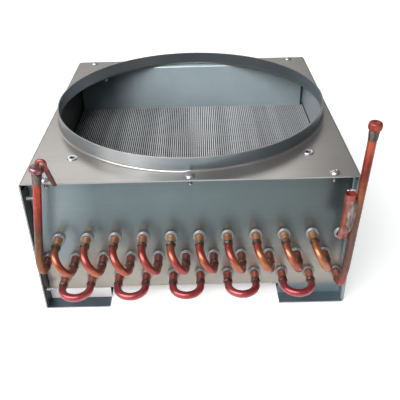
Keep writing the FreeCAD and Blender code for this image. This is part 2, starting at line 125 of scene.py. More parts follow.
class Soup:
    """Points in millimetres and faces of one mesh."""

    def __init__(self):
        self.points = []
        self.faces = []

    def add(self, points, faces):
        start = len(self.points)
        self.points += [tuple(p) for p in points]
        self.faces += [tuple(start + i for i in face) for face in faces]

    def add_rings(self, rings, count):
        """Closed surface through rings of count points. A ring of one point is a pole."""
        self.add([p for ring in rings for p in ring], loops_to_faces(rings, count))

    def build(self, name, material, nodes=(), smooth=40):
        """Make the piece. Edges sharper than smooth degrees stay crisp, and 0 leaves every face flat."""
        mesh = bpy.data.meshes.new(name)
        mesh.from_pydata([(x * MM, y * MM, z * MM) for x, y, z in self.points], [], self.faces)
        mesh.validate()
        mesh.materials.append(material)
        piece = bpy.data.objects.new(name, mesh)
        bpy.context.scene.collection.objects.link(piece)
        if smooth:
            mesh.shade_smooth()
            mesh.set_sharp_from_angle(angle=math.radians(smooth))
        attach(piece, "root")
        if nodes:
            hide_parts(*nodes)


def loops_to_faces(rings, count):
    """Faces that join rings of count points and close both ends. A ring of one point is a pole."""
    faces = []
    starts = []
    total = 0
    for ring in rings:
        starts.append(total)
        total += len(ring)
    for k in range(len(rings) - 1):
        a, b = starts[k], starts[k + 1]
        for i in range(count):
            j = (i + 1) % count
            if len(rings[k]) == 1:
                faces.append((a, b + j, b + i))
            elif len(rings[k + 1]) == 1:
                faces.append((a + i, a + j, b))
            else:
                faces.append((a + i, a + j, b + j, b + i))
    if len(rings[0]) > 1:
        faces.append(tuple(reversed(range(count))))
    if len(rings[-1]) > 1:
        faces.append(tuple(range(starts[-1], starts[-1] + count)))
    return faces


def side_of(axis):
    """Two directions square to an axis and to each other."""
    hint = Vector((1, 0, 0)) if abs(axis.x) < 0.7 else Vector((0, 1, 0))
    side = (hint - axis * hint.dot(axis)).normalized()
    return side, axis.cross(side)


def lathe(soup, outline, base, axis, count, wobble=None, closed=False):
    """Turn (radius, height) points about an axis. A closed outline never touches the axis."""
    base = Vector(base)
    axis = Vector(axis).normalized()
    side, other = side_of(axis)
    rings = []
    for radius, height in outline:
        if radius < 1e-6:
            rings.append([base + axis * height])
            continue
        ring = []
        for i in range(count):
            turn = 2 * math.pi * i / count
            r = radius * (1 + (wobble(turn, height) if wobble else 0))
            ring.append(base + axis * height + side * (r * math.cos(turn)) + other * (r * math.sin(turn)))
        rings.append(ring)
    if not closed:
        soup.add_rings(rings, count)
        return
    faces = []
    for k in range(len(rings)):
        a, b = k * count, (k + 1) % len(rings) * count
        faces += [(a + i, a + (i + 1) % count, b + (i + 1) % count, b + i) for i in range(count)]
    soup.add([p for ring in rings for p in ring], faces)


def rounded_path(points, radii, step):
    """Points along straight runs joined by arcs, about a step apart."""
    points = [Vector(p) for p in points]
    path = [points[0]]

    def run_to(end):
        start = path[-1]
        parts = max(1, round((end - start).length / step))
        path.extend(start.lerp(end, k / parts) for k in range(1, parts + 1))

    for before, corner, after, radius in zip(points, points[1:], points[2:], radii):
        back = (before - corner).normalized()
        ahead = (after - corner).normalized()
        half = (math.pi - back.angle(ahead)) / 2
        middle = (back + ahead).normalized()
        centre = corner + middle * (radius / math.cos(half))
        run_to(corner + back * radius * math.tan(half))
        start = path[-1] - centre
        axis = start.cross(corner + ahead * radius * math.tan(half) - centre).normalized()
        parts = max(4, round(2 * half * radius / step))
        for k in range(1, parts + 1):
            path.append(centre + Matrix.Rotation(2 * half * k / parts, 3, axis) @ start)
    run_to(points[-1])
    return path


def oval(centre, ahead, a, b, count, bump):
    """Ring square to a direction, with half widths a along the tubes and b across them."""
    side = (ALONG_TUBES - ahead * ahead.dot(ALONG_TUBES)).normalized()
    other = ahead.cross(side)
    ring = []
    for i in range(count):
        turn = 2 * math.pi * i / count
        spot = side * (a * math.cos(turn)) + other * (b * math.sin(turn))
        ring.append(centre + spot * (1 + bump(centre + spot)))
    return ring


def sweep(soup, path, size, count, bump):
    """Tube along a path. size(share) gives its two half widths at a share of the path's points."""
    rings = []
    for k, point in enumerate(path):
        ahead = (path[min(k + 1, len(path) - 1)] - path[max(k - 1, 0)]).normalized()
        rings.append(oval(point, ahead, *size(k / (len(path) - 1)), count, bump))
    soup.add_rings(rings, count)


def shell(soup, spots, base, axis, count, bump):
    """Closed surface through ovals given as (distance along the axis, half width, half width)."""
    axis = Vector(axis).normalized()
    rings = [oval(Vector(base) + axis * distance, axis, a, b, count, bump) for distance, a, b in spots]
    soup.add_rings(rings, count)


def eased(outline, parts=4):
    """More points along a smooth curve through an outline."""
    points = [Vector((r, h, 0)) for r, h in outline]
    ends = [points[0]] + points + [points[-1]]
    curve = []
    for k in range(len(points) - 1):
        a, b, c, d = ends[k:k + 4]
        for i in range(parts):
            t = i / parts
            spot = 0.5 * (2 * b + (c - a) * t + (2 * a - 5 * b + 4 * c - d) * t ** 2
                          + (3 * b - a - 3 * c + d) * t ** 3)
            curve.append((max(spot.x, 0.0), spot.y))
    return curve + [outline[-1]]


def circle(radius, height, count):
    """Points of a level ring round the origin."""
    turns = [2 * math.pi * i / count for i in range(count)]
    return [(radius * math.cos(turn), radius * math.sin(turn), height) for turn in turns]


def lumps(scale, size, seed):
    """Small swellings over a surface, as a share of its radius."""
    return lambda spot: size * noise.noise(spot * scale + Vector((seed, 0, seed)))


# Finishes

class Graph:
    """Node tree of one finish. Its coordinates are the object's own, in metres."""

    def __init__(self, name):
        self.material = bpy.data.materials.new(name)
        self.material.use_nodes = True
        self.tree = self.material.node_tree
        self.tree.nodes.clear()
        out = self.node("ShaderNodeOutputMaterial")
        self.shader = self.node("ShaderNodeBsdfPrincipled")
        self.tree.links.new(self.shader.outputs[0], out.inputs["Surface"])
        self.place = self.node("ShaderNodeTexCoord").outputs["Object"]

    def node(self, kind, **settings):
        made = self.tree.nodes.new(kind)
        for key, value in settings.items():
            setattr(made, key, value)
        return made

    def put(self, value, socket):
        if isinstance(value, bpy.types.NodeSocket):
            self.tree.links.new(value, socket)
        elif isinstance(value, tuple) and len(value) == 3 and socket.type == "RGBA":
            socket.default_value = (*value, 1)
        else:
            socket.default_value = value

    def set(self, **values):
        for key, value in values.items():
            self.put(value, self.shader.inputs[key.replace("_", " ")])

    def math(self, operation, a, b=0.0, clamp=False):
        made = self.node("ShaderNodeMath", operation=operation, use_clamp=clamp)
        self.put(a, made.inputs[0])
        self.put(b, made.inputs[1])
        return made.outputs[0]

    def product(self, first, *others):
        for other in others:
            first = self.math("MULTIPLY", first, other)
        return first

    def axis(self, index):
        split = self.node("ShaderNodeSeparateXYZ")
        self.put(self.place, split.inputs[0])
        return split.outputs[index]

    def stretched(self, x, y, z):
        mapping = self.node("ShaderNodeMapping")
        self.put(self.place, mapping.inputs["Vector"])
        mapping.inputs["Scale"].default_value = (x, y, z)
        return mapping.outputs[0]

    def noise(self, scale, detail=3.0, roughness=0.5, distortion=0.0, place=None):
        made = self.node("ShaderNodeTexNoise")
        self.put(place or self.place, made.inputs["Vector"])
        made.inputs["Scale"].default_value = scale
        made.inputs["Detail"].default_value = detail
        made.inputs["Roughness"].default_value = roughness
        made.inputs["Distortion"].default_value = distortion
        return made.outputs[0]

    def ramp(self, value, *stops):
        made = self.node("ShaderNodeValToRGB")
        self.put(value, made.inputs[0])
        elements = made.color_ramp.elements
        while len(elements) < len(stops):
            elements.new(0.5)
        for element, (place, colour) in zip(elements, stops):
            element.position = place
            element.color = (*colour, 1)
        return made.outputs[0]

    def spread(self, value, low, high, to_low=0.0, to_high=1.0, smooth=False):
        made = self.node("ShaderNodeMapRange", interpolation_type="SMOOTHSTEP" if smooth else "LINEAR")
        for key, number in (("From Min", low), ("From Max", high), ("To Min", to_low), ("To Max", to_high)):
            made.inputs[key].default_value = number
        self.put(value, made.inputs["Value"])
        return made.outputs[0]

    def within(self, index, low, high, soft=0.0004):
        """1 where a coordinate lies between two values in metres, else 0."""
        place = self.axis(index)
        above = self.spread(place, low - soft, low, 0, 1)
        below = self.spread(place, high, high + soft, 1, 0)
        return self.product(above, below)

    def mix(self, share, a, b, blend="MIX"):
        made = self.node("ShaderNodeMix", data_type="RGBA", blend_type=blend)
        self.put(share, made.inputs[0])
        self.put(a, made.inputs[6])
        self.put(b, made.inputs[7])
        return made.outputs[2]

    def drifting(self, drift, a, b):
        """Colour that wanders smoothly between two."""
        return self.mix(self.spread(drift, 0.35, 0.65, smooth=True), a, b)

    def bump(self, height, strength, depth, before=None):
        made = self.node("ShaderNodeBump")
        self.put(height, made.inputs["Height"])
        made.inputs["Strength"].default_value = strength
        made.inputs["Distance"].default_value = depth * MM
        if before:
            self.put(before, made.inputs["Normal"])
        return made.outputs[0]


def galvanised(name, high, low, roughness, turn_z, zones=(), spread_z=0.03, metallic=0.85, drift=0.02):
    """Zinc-coated sheet. Its tint drifts from high to low round the height turn_z, in metres.

    Each zone gives the ranges of X and Z that it covers, its tint, its share of metal and, where it
    fades in, over how many metres in X and Z. Most zone tints are painted shade or painted light.
    """
    g = Graph(name)
    spangle = g.noise(60, 2, 0.5, 0.6)
    grains = g.noise(900, 3, 0.7)
    patch = g.noise(10, 4, 0.6)
    rolling = g.noise(1, 4, 0.65, place=g.stretched(4, 800, 800))
    height = g.math("ADD", g.axis(2), g.spread(patch, 0.3, 0.7, -drift, drift))
    shade = g.mix(g.spread(height, turn_z - spread_z, turn_z + spread_z, 0, 1, smooth=True), low, high)
    metal = metallic
    for (x0, x1), (z0, z1), zone_tint, zone_metal, *soft in zones:
        mask = g.product(g.within(0, x0, x1, *soft[:1]), g.within(2, z0, z1, *soft[1:]))
        shade = g.mix(mask, shade, zone_tint)
        kept = g.product(metal, g.math("SUBTRACT", 1.0, mask))
        metal = g.math("ADD", kept, g.product(mask, zone_metal))
    for pattern, start, end, most, smooth, darker in (
            (patch, 0.3, 0.7, 0.22, True, (0.78, 0.78, 0.77)),
            (spangle, 0.35, 0.65, 0.22, True, (0.86, 0.87, 0.88)),
            (rolling, 0.35, 0.7, 0.35, True, (0.84, 0.84, 0.84)),
            (grains, 0.4, 0.7, 0.3, False, (0.84, 0.84, 0.84))):
        shade = g.mix(g.spread(pattern, start, end, 0.0, most, smooth), shade, darker, "MULTIPLY")
    g.set(Base_Color=shade, Metallic=metal)
    g.set(Roughness=g.spread(patch, 0.25, 0.75, roughness - 0.025, roughness + 0.025, smooth=True))
    g.set(Normal=g.bump(g.noise(4, 1, 0.4), 0.06, 2.0))
    return g.material


def fin_material():
    """Bare foil, with painted shade on one flank of each ripple and below the cut upper edge, darker to the
    right.
    """
    g = Graph("fin_aluminium_foil")
    grain = g.noise(600, 3, 0.6)
    drift = g.noise(1, 2, 0.5, place=g.stretched(45, 2, 2))
    colour = g.mix(g.spread(grain, 0.3, 0.7), (0.97, 0.98, 0.99), (0.90, 0.91, 0.92))
    colour = g.mix(g.spread(drift, 0.42, 0.62, 0.0, 0.45, smooth=True), colour, (0.40, 0.41, 0.43))
    # painted shade on the flank of each ripple that faces away from the light
    wave = g.math("SINE", g.product(g.axis(0), 2 * math.pi / (fin_width * MM / ripples)))
    duller = g.spread(g.axis(0), 0.02, 0.085, 0.0, 0.5, smooth=True)
    colour = g.mix(duller, colour, (0.20, 0.205, 0.21))
    shaded_flank = g.product(g.spread(wave, -0.15, 0.15), g.math("SUBTRACT", 1.0, duller))
    colour = g.mix(shaded_flank, colour, (0.012, 0.013, 0.015))
    # painted shade on the fins below their lit upper edge
    edge = g.spread(g.axis(2), fin_top * MM - 0.0008, fin_top * MM - 0.0003, 0, 1)
    colour = g.mix(edge, g.mix(1.0, colour, (0.38, 0.39, 0.41), "MULTIPLY"), colour)
    g.set(Base_Color=colour, Metallic=0.1, Roughness=g.spread(grain, 0.3, 0.7, 0.40, 0.55))
    g.set(Normal=g.bump(grain, 0.1, 0.1))
    return g.material


def bend_material():
    """Copper of the return bends: red, golden to the right, pinker in the lowest row, dark at the braze."""
    g = Graph("copper_bends")
    across = g.axis(0)
    along = g.axis(1)
    height = g.axis(2)
    drift = g.noise(38, 2, 0.5, 0.3)
    mottle = g.noise(300, 4, 0.65)
    red = g.drifting(drift, (0.28, 0.032, 0.025), (0.35, 0.076, 0.030))
    gold = g.drifting(drift, (0.27, 0.062, 0.024), (0.34, 0.125, 0.044))
    pink = g.drifting(drift, (0.25, 0.023, 0.030), (0.33, 0.052, 0.058))
    right = g.math("ADD", g.spread(across, 0.0, 0.11, 0, 1), g.spread(drift, 0.3, 0.7, -0.35, 0.35))
    first_bend = g.spread(across, -0.106, -0.098, 0.9, 0.0)
    golden = g.math("MULTIPLY", g.math("MAXIMUM", right, first_bend), 0.75, clamp=True)
    lowest_row = g.spread(height, -0.104, -0.096, 1, 0, smooth=True)
    colour = g.mix(lowest_row, g.mix(golden, red, gold), pink)
    colour = g.mix(g.spread(mottle, 0.5, 0.75, 0.0, 0.6), colour, (0.07, 0.02, 0.014))
    uneven = g.math("ADD", along, g.spread(g.noise(90, 3, 0.6), 0.3, 0.7, -0.003, 0.003))
    heat = g.spread(uneven, cup_mouth_y * MM - 0.0065, cup_mouth_y * MM - 0.001, 0, 1, smooth=True)
    colour = g.mix(g.product(heat, 0.8), colour, (0.05, 0.024, 0.018))
    g.set(Base_Color=colour, Metallic=0.66, Roughness=g.spread(mottle, 0.3, 0.75, 0.26, 0.42))
    g.set(Coat_Weight=0.5, Coat_Roughness=0.32)
    fine = g.bump(g.noise(260, 3, 0.55), 0.05, 0.1)
    g.set(Normal=g.bump(g.noise(40, 2, 0.5), 0.15, 0.8, fine))
    return g.material


def hairpin_material():
    """Copper of the hairpins: golden, pinker at the mouths of the lower rows, dark oxide at the braze."""
    g = Graph("copper_hairpins")
    along = g.axis(1)
    height = g.axis(2)
    drift = g.noise(40, 2, 0.5, 0.3)
    mottle = g.noise(300, 4, 0.65)
    colour = g.drifting(drift, (0.60, 0.25, 0.13), (0.76, 0.42, 0.24))
    pink = g.drifting(drift, (0.46, 0.12, 0.09), (0.60, 0.24, 0.18))
    front = g.spread(along, -0.10, -0.08, 1, 0)
    lower_rows = g.spread(height, -0.081, -0.075, 1, 0, smooth=True)
    middle_row = g.product(g.within(2, -0.0975, -0.079, 0.003), 0.6)
    colour = g.mix(g.product(lower_rows, front), colour, pink)
    colour = g.mix(g.product(middle_row, front), colour, (0.20, 0.070, 0.055))
    colour = g.mix(g.spread(mottle, 0.5, 0.8, 0.0, 0.45), colour, (0.14, 0.05, 0.03))
    uneven = g.math("ADD", along, g.spread(g.noise(90, 3, 0.6), 0.3, 0.7, -0.0015, 0.0015))
    heat = g.spread(uneven, cup_mouth_y * MM - 0.0005, cup_mouth_y * MM + 0.0025, 1, 0, smooth=True)
    colour = g.mix(g.product(heat, 0.75), colour, (0.05, 0.026, 0.02))
    g.set(Base_Color=colour, Metallic=0.8, Roughness=g.spread(mottle, 0.3, 0.75, 0.24, 0.42))
    g.set(Normal=g.bump(g.noise(260, 3, 0.55), 0.1, 0.2))
    return g.material


def copper(name, stops, scale=30, soot=0.5, metal=0.42):
    """Drawn and heated copper. Its colour drifts up the part through stops of (height in metres, colour)."""
    g = Graph(name)
    drift = g.noise(scale, 4, 0.6, 0.5)
    mottle = g.noise(260, 5, 0.7)
    streak = g.noise(1, 4, 0.6, place=g.stretched(300, 300, 40))
    low, high = stops[0][0], stops[-1][0] + 1e-6
    height = g.math("ADD", g.axis(2), g.spread(drift, 0.3, 0.7, -0.012, 0.012))
    colour = g.ramp(g.spread(height, low, high), *[((z - low) / (high - low), tint) for z, tint in stops])
    deep = g.mix(1.0, colour, (0.45, 0.36, 0.36), "MULTIPLY")
    colour = g.mix(g.spread(streak, 0.48, 0.68, 0.0, 0.8, smooth=True), colour, deep)
    colour = g.mix(g.spread(mottle, 0.53, 0.72, 0.0, soot, smooth=True), colour, (0.025, 0.012, 0.010))
    pale = g.mix(0.18, colour, (0.80, 0.42, 0.36))
    colour = g.mix(g.spread(mottle, 0.28, 0.42, 0.8, 0.0, smooth=True), colour, pale)
    g.set(Base_Color=colour, Metallic=metal, Specular_IOR_Level=0.35)
    g.set(Roughness=g.spread(mottle, 0.3, 0.7, 0.28, 0.42))
    fine = g.bump(mottle, 0.10, 0.10)
    g.set(Normal=g.bump(g.noise(60, 3, 0.5), 0.25, 0.9, fine))
    return g.material


def braze_material():
    """Dull beads of braze metal, dark in their hollows."""
    g = Graph("braze_metal_beads")
    lump = g.noise(420, 4, 0.7)
    tints = ((0.32, (0.04, 0.028, 0.024)), (0.52, (0.13, 0.095, 0.08)), (0.68, (0.34, 0.31, 0.28)))
    colour = g.ramp(lump, *tints)
    g.set(Base_Color=colour, Metallic=1.0, Roughness=g.spread(lump, 0.3, 0.7, 0.62, 0.42))
    g.set(Normal=g.bump(lump, 0.35, 0.4))
    return g.material


def stain_material(name, depth):
    """Grey-brown flux stain over braze."""
    g = Graph(name)
    lump = g.noise(1, 4, 0.65, place=g.stretched(330, 330, 90))
    tints = ((0.33, (0.09, 0.045, 0.035)), (0.5, (0.23, 0.165, 0.145)), (0.66, (0.46, 0.37, 0.33)))
    colour = g.ramp(lump, *[(place, tuple(c * depth for c in tint)) for place, tint in tints])
    g.set(Base_Color=colour, Metallic=0.55, Roughness=g.spread(lump, 0.3, 0.7, 0.6, 0.42))
    g.set(Normal=g.bump(lump, 0.35, 0.5))
    return g.material


def zinc_material(name, shaded=False):
    """Bright zinc plating. Shaded, it has painted shade inside the inserts' bores, below their heads."""
    g = Graph(name)
    grain = g.noise(900, 3, 0.6)
    colour = g.mix(g.spread(grain, 0.3, 0.7), (0.60, 0.61, 0.61), (0.42, 0.43, 0.44))
    if shaded:
        offsets = [g.math("SUBTRACT", g.math("ABSOLUTE", g.axis(k)), insert_half * MM) for k in (0, 1)]
        squared_reach = g.math("ADD", *[g.product(offset, offset) for offset in offsets])
        near_axis = g.spread(squared_reach, 6.0e-6, 7.5e-6, 1, 0)
        below_head = g.spread(g.axis(2), 0.0, 0.0008, 1, 0)
        # painted shade inside the bore, below the head
        colour = g.mix(g.product(near_axis, below_head), colour, (0.035, 0.04, 0.05))
    g.set(Base_Color=colour, Metallic=1.0, Roughness=g.spread(grain, 0.3, 0.7, 0.22, 0.34))
    g.set(Normal=g.bump(grain, 0.08, 0.1))
    return g.material


# Stretches of the sheets, in metres along X or Z
anywhere = (-0.2, 0.2)
left_wall = (-0.1408, -0.1385)
right_wall = (0.1385, 0.1408)
left_half = (-0.15, 0.0)
right_half = (0.0, 0.15)
fan_ring = (0.0030, 0.1)
below_top = (-0.2, -0.0012)
feet = (-0.2, -0.1375)
legs = (-0.2, -0.1262)

# Painted shade for the sheets' faces in shadow and under the top sheet's front edge
painted_shade = (0.05, 0.048, 0.045)

sheet_metal = galvanised(
    "galvanised_sheet_case", (0.160, 0.187, 0.203), (0.37, 0.352, 0.335), 0.31, 0.0045,
    spread_z=0.002, drift=0.0,
    zones=(
        (anywhere, fan_ring, (0.160, 0.188, 0.204), 0.74, 0.001, 0.002),
        # painted highlight on the fan ring's left front
        ((-0.11, -0.05), fan_ring, (0.29, 0.31, 0.32), 0.74, 0.04, 0.002),
        # painted shade on the left side wall's inner face, and painted light on the right one
        (left_wall, below_top, painted_shade, 0.6),
        (right_wall, below_top, (0.52, 0.58, 0.61), 0.6),
        # painted shade on the right wall along the gap at the fin tops
        (right_wall, (-0.0585, -0.0525), (0.03, 0.03, 0.03), 0.5),
        # painted shade on the left foot and painted light on the right foot
        (left_half, feet, (0.055, 0.078, 0.095), 0.6),
        (right_half, feet, (0.19, 0.245, 0.275), 0.75)))
plate_metal = galvanised(
    "galvanised_sheet_plate", (0.108, 0.142, 0.148), (0.34, 0.32, 0.28), 0.33, -0.088, metallic=0.72,
    zones=(
        # painted shade over the plate's upper right
        ((0.12, 0.2), (-0.055, 0.0), (0.078, 0.098, 0.098), 0.72, 0.14, 0.04),
        # painted highlight in a strip beside the left flange
        ((-0.139, -0.118), (-0.080, -0.004), (0.20, 0.25, 0.265), 0.72, 0.035, 0.02),
        # painted shadow under the top sheet's front edge
        (anywhere, (-0.0026, 0.0), painted_shade, 0.5),
        # painted shade on the left flange and a painted highlight on the right flange
        (left_wall, anywhere, (0.032, 0.028, 0.025), 0.6),
        (right_wall, anywhere, (0.34, 0.42, 0.46), 0.8),
        # painted reflections on the legs: near white on the left, blue on the right
        ((-0.1385, -0.07), legs, (0.95, 0.95, 0.95), 0.1),
        ((0.07, 0.1385), legs, (0.27, 0.35, 0.385), 0.5)))
back_metal = galvanised(
    "galvanised_sheet_back", (0.47, 0.565, 0.605), (0.36, 0.43, 0.46), 0.42, -0.06, metallic=0.45,
    zones=(
        # painted shade on the left of the back wall and on both flanges
        ((-0.2, -0.10), (-0.066, 0.0), (0.22, 0.26, 0.28), 0.45, 0.03, 0.002),
        (left_wall, anywhere, (0.10, 0.10, 0.10), 0.5),
        ((0.1372, 0.1393), anywhere, (0.04, 0.04, 0.04), 0.5)))
collar_metal = galvanised(
    "galvanised_sheet_collar", (0.27, 0.28, 0.285), (0.25, 0.25, 0.25), 0.34, -0.09, metallic=0.45)
edge_metal = galvanised("galvanised_sheet_edge", (0.30, 0.305, 0.30), (0.30, 0.32, 0.33), 0.45, -0.06)

foil = fin_material()
beads = braze_material()
stain = stain_material("braze_metal_stain", 0.62)
band_stain = stain_material("braze_metal_band", 0.38)
zinc = zinc_material("zinc_plated_steel_bright")
insert_zinc = zinc_material("zinc_plated_steel_insert", shaded=True)

inlet_copper = copper("copper_inlet", (
    (-0.095, (0.25, 0.080, 0.032)), (-0.070, (0.19, 0.072, 0.030)), (-0.042, (0.075, 0.032, 0.018)),
    (-0.027, (0.17, 0.022, 0.012)), (-0.005, (0.31, 0.036, 0.018)), (0.012, (0.26, 0.036, 0.022))))
process_copper = copper("copper_process", (
    (0.004, (0.06, 0.022, 0.022)), (0.018, (0.10, 0.032, 0.030)), (0.024, (0.32, 0.085, 0.070))), scale=90)
outlet_copper = copper("copper_outlet", (
    (-0.115, (0.26, 0.045, 0.030)), (-0.095, (0.16, 0.065, 0.056)), (-0.065, (0.10, 0.052, 0.038)),
    (-0.030, (0.10, 0.044, 0.024)), (-0.008, (0.21, 0.068, 0.022)), (0.006, (0.14, 0.018, 0.010)),
    (0.025, (0.20, 0.022, 0.012)), (0.037, (0.33, 0.060, 0.028))))
holder_copper = copper("copper_holder", (
    (-0.056, (0.32, 0.15, 0.135)), (-0.045, (0.25, 0.070, 0.050)), (-0.022, (0.18, 0.048, 0.034)),
    (-0.016, (0.24, 0.10, 0.09)), (-0.012, (0.30, 0.055, 0.040))), scale=70)
inlet_cap_copper = copper("copper_inlet_cap", (
    (0.01, (0.19, 0.085, 0.09)), (0.03, (0.28, 0.145, 0.155))), scale=150, soot=0.9, metal=0.85)
outlet_cap_copper = copper("copper_outlet_cap", (
    (0.04, (0.25, 0.032, 0.022)), (0.06, (0.29, 0.048, 0.034))), scale=60, soot=0.25)


def paint(material, *names):
    """Give pieces of the frame a finish."""
    for name in names:
        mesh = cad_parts[name].data
        mesh.materials.clear()
        mesh.materials.append(material)


paint(sheet_metal, "fan_shroud")
paint(plate_metal, "front_end_plate")
paint(back_metal, "back_end_plate")
paint(bend_material(), "return_bends")
paint(hairpin_material(), *["hairpin_%02d" % k for k in range(1, 17)])
paint(inlet_copper, "inlet_pipe")
paint(outlet_copper, "outlet_pipe")


# Fins and the rims of the tube holes

def fin_stack():
    """Fins with ripples that line up from fin to fin. Each fin leans and drifts a little."""
    first = front_face + plate_sheet + fin_end_gap
    last = back_face - plate_sheet - fin_end_gap
    count = int((last - first) / fin_pitch) + 1
    start = (first + last - (count - 1) * fin_pitch) / 2
    stations = 2 * ripples
    half_foil = fin_thickness / 2
    most_lean = 0.12
    most_drift = 0.25
    soup = Soup()
    for k in range(count):
        y = start + k * fin_pitch
        lean = rng.uniform(-most_lean, most_lean)
        points = []
        for j in range(stations + 1):
            x = -fin_width / 2 + fin_width * j / stations
            wave = ripple_half if j % 2 else -ripple_half
            drift = most_drift * noise.noise(Vector((x * 0.02, y * 0.35, 3.0)))
            for z, extra in ((fin_top, lean + drift), (fin_bottom, -lean)):
                points.append((x, y + wave + extra - half_foil, z))
                points.append((x, y + wave + extra + half_foil, z))
        faces = []
        for j in range(stations):
            a, b = 4 * j, 4 * (j + 1)
            faces.append((a, a + 2, b + 2, b))
            faces.append((a + 1, b + 1, b + 3, a + 3))
            faces.append((a, b, b + 1, a + 1))
            faces.append((a + 2, a + 3, b + 3, b + 2))
        faces.append((0, 1, 3, 2))
        end = 4 * stations
        faces.append((end, end + 2, end + 3, end + 1))
        soup.add(points, faces)
    soup.build("fin_stack", foil, ["fins"], smooth=0)


def fin_collars():
    """Sleeves that the fins' drawn holes make round the tubes."""
    start = front_face + plate_sheet + sleeve_end_gap
    length = back_face - plate_sheet - sleeve_end_gap - start
    outline = [(snug_radius, 0), (sleeve_radius, 0), (sleeve_radius, length), (snug_radius, length)]
    soup = Soup()
    for tube in tubes:
        x, z = tube_place(*tube)
        lathe(soup, outline, (x, start, z), ALONG_TUBES, 20, closed=True)
    soup.build("fin_collars", foil)


def collar_lips():
    """Drawn rims round the tube holes, rolled over at their mouths."""
    outer = eased([(5.7, -0.05), (4.85, 0.3), (4.6, 0.9), (4.9, 1.6), (5.6, 2.1), (5.75, 2.6), (5.4, 3.0),
                   (4.6, 3.1), (3.6, 2.9)], 2)
    outline = outer + [(3.53, 2.5), (3.53, -0.05)]
    soup = Soup()
    for face, outward in ((front_face, -1), (back_face, 1)):
        for tube in tubes:
            x, z = tube_place(*tube)
            lathe(soup, outline, (x, face, z), (0, outward, 0), 32, closed=True)
    soup.build("collar_lips", collar_metal, smooth=80)


fin_stack()
fin_collars()
collar_lips()


# Pipes' ends and braze

def pipe_run(tube, foot_lean, foot_rise, lean, rise):
    """Lower end, upper end and direction of a connection pipe's long upper run."""
    x, z = tube_place(*tube)
    foot = Vector((x + foot_lean, upright_y, z + foot_rise))
    end = foot + Vector((lean, 0, rise))
    return foot, end, (end - foot).normalized()


_, inlet_end, inlet_up = pipe_run(inlet_tube, foot_lean=-1.2, foot_rise=14.0, lean=14.2, rise=93.3)
outlet_foot, outlet_end, outlet_up = pipe_run(
    outlet_tube, foot_lean=2.6, foot_rise=22.0, lean=6.3, rise=139.3)


def inlet_cap():
    """Bulbous seal, open for the process tube."""
    crown = [(3.7, -2.9), (4.6, -2.8), (5.6, -2.1), (6.05, -0.7), (5.9, 0.8), (5.0, 2.1), (3.4, 2.9),
             (1.9, 3.2)]
    outline = [(snug_radius, -0.3), (snug_radius, -2.8)] + eased(crown) + [(1.62, 3.0), (1.62, -0.3)]
    swelling = lumps(0.42, 0.07, 4)

    def wobble(turn, height):
        if height <= -2.7:
            return 0
        return swelling(Vector((5 * math.cos(turn), 5 * math.sin(turn), height)))

    soup = Soup()
    lathe(soup, outline, inlet_end, inlet_up, 48, wobble, closed=True)
    soup.build("inlet_cap_bulb", inlet_cap_copper, ["inlet_cap"], smooth=60)


def outlet_cap():
    """Seal with a dimple in its top."""
    crown = [(3.7, -4.7), (4.5, -4.6), (5.15, -3.9), (5.45, -2.4), (5.45, -0.6), (5.1, 0.8), (4.3, 1.6),
             (3.0, 1.85), (1.6, 1.5), (0.7, 1.25), (0.0, 1.2)]
    outline = [(0, -0.3), (snug_radius, -0.3), (snug_radius, -4.7)] + eased(crown)
    soup = Soup()
    lathe(soup, outline, outlet_end, outlet_up, 48)
    soup.build("outlet_cap_button", outlet_cap_copper, ["outlet_cap"], smooth=60)


def cap_bands():
    """Braze metal that has run down the pipes below their caps."""
    for name, node, end, up, top, seed in (
            ("inlet_band", "inlet_cap_braze", inlet_end, inlet_up, -2.4, 2),
            ("outlet_band", "outlet_cap_braze", outlet_end, outlet_up, -4.2, 7)):
        outline = [(top, snug_radius), (top - 0.3, 4.15), (-5.6, 4.2), (-7.4, 4.08), (-9.6, 3.9),
                   (-11.6, 3.78), (-13.0, 3.66), (-13.8, 3.45)]
        soup = Soup()
        shell(soup, [(d, r, r) for d, r in outline], end, up, 48, lumps(0.7, 0.07, seed))
        soup.build(name, band_stain, [node], smooth=80)


def process_tube():
    """Thin tube that rises from the inlet's cap, bends over and is pinched flat down to its end."""
    base = inlet_end + inlet_up * 1.0
    corners = [(-119.3, 23.2), (-118.9, 25.6), (-116.9, 26.9), (-114.4, 26.6), (-112.9, 24.6),
               (-113.4, 21.4), (-112.4, 17.4), (-108.2, 3.6)]
    line = [base] + [Vector((x, upright_y, z)) for x, z in corners]
    path = rounded_path(line, [1.2, 1.2, 1.6, 1.6, 1.6, 1.6, 3.0], 0.3)
    radius = 1.75
    pinch_start, pinch_run = 0.40, 0.12     # shares of the path
    tip_start, tip_run = 0.8, 0.2

    def size(share):
        flat = min(1, max(0, (share - pinch_start) / pinch_run))
        flat = flat * flat * (3 - 2 * flat)
        tip = min(1, max(0, (share - tip_start) / tip_run))
        return radius - 0.8 * flat, radius + (0.45 - 0.5 * tip) * flat

    soup = Soup()
    sweep(soup, path, size, 28, lumps(0.5, 0.07, 5))
    soup.build("process_tube_bent", process_copper, ["process_tube"], smooth=60)


